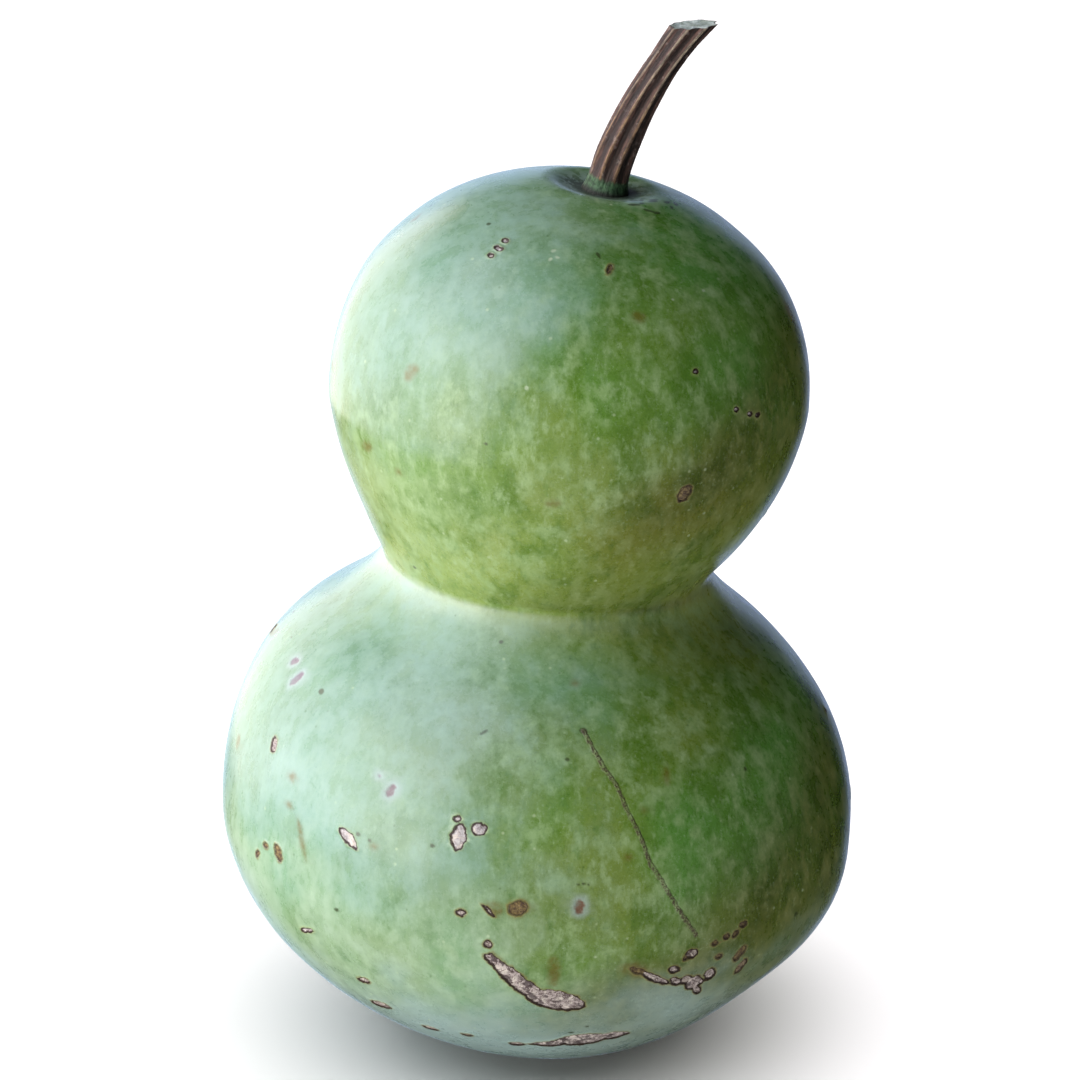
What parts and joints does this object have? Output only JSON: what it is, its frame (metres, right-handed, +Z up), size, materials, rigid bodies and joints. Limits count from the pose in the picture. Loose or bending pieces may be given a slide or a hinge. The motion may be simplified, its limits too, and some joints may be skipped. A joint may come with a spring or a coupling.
{
  "type": "bottle gourd",
  "caption": "Bottle gourd fruit with a round lower lobe, a pinched waist, a smaller upper lobe and a curved woody stalk.",
  "frame": {"origin": "on the surface that the gourd stands on, under the middle of the lower lobe", "axes": "+Z up along the fruit, from its base to its stalk; the fruit and its stalk lean towards +X; -Y is the front"},
  "size_m": [0.1497, 0.15, 0.2434],
  "materials": {
    "rind": "satin green rind with a pale bloom and corky scars",
    "stalk_bark": "dry ribbed bark"
  },
  "bodies": {
    "root": {"gourd_fruit": "rind", "stalk": "stalk_bark"}
  },
  "joints": []
}
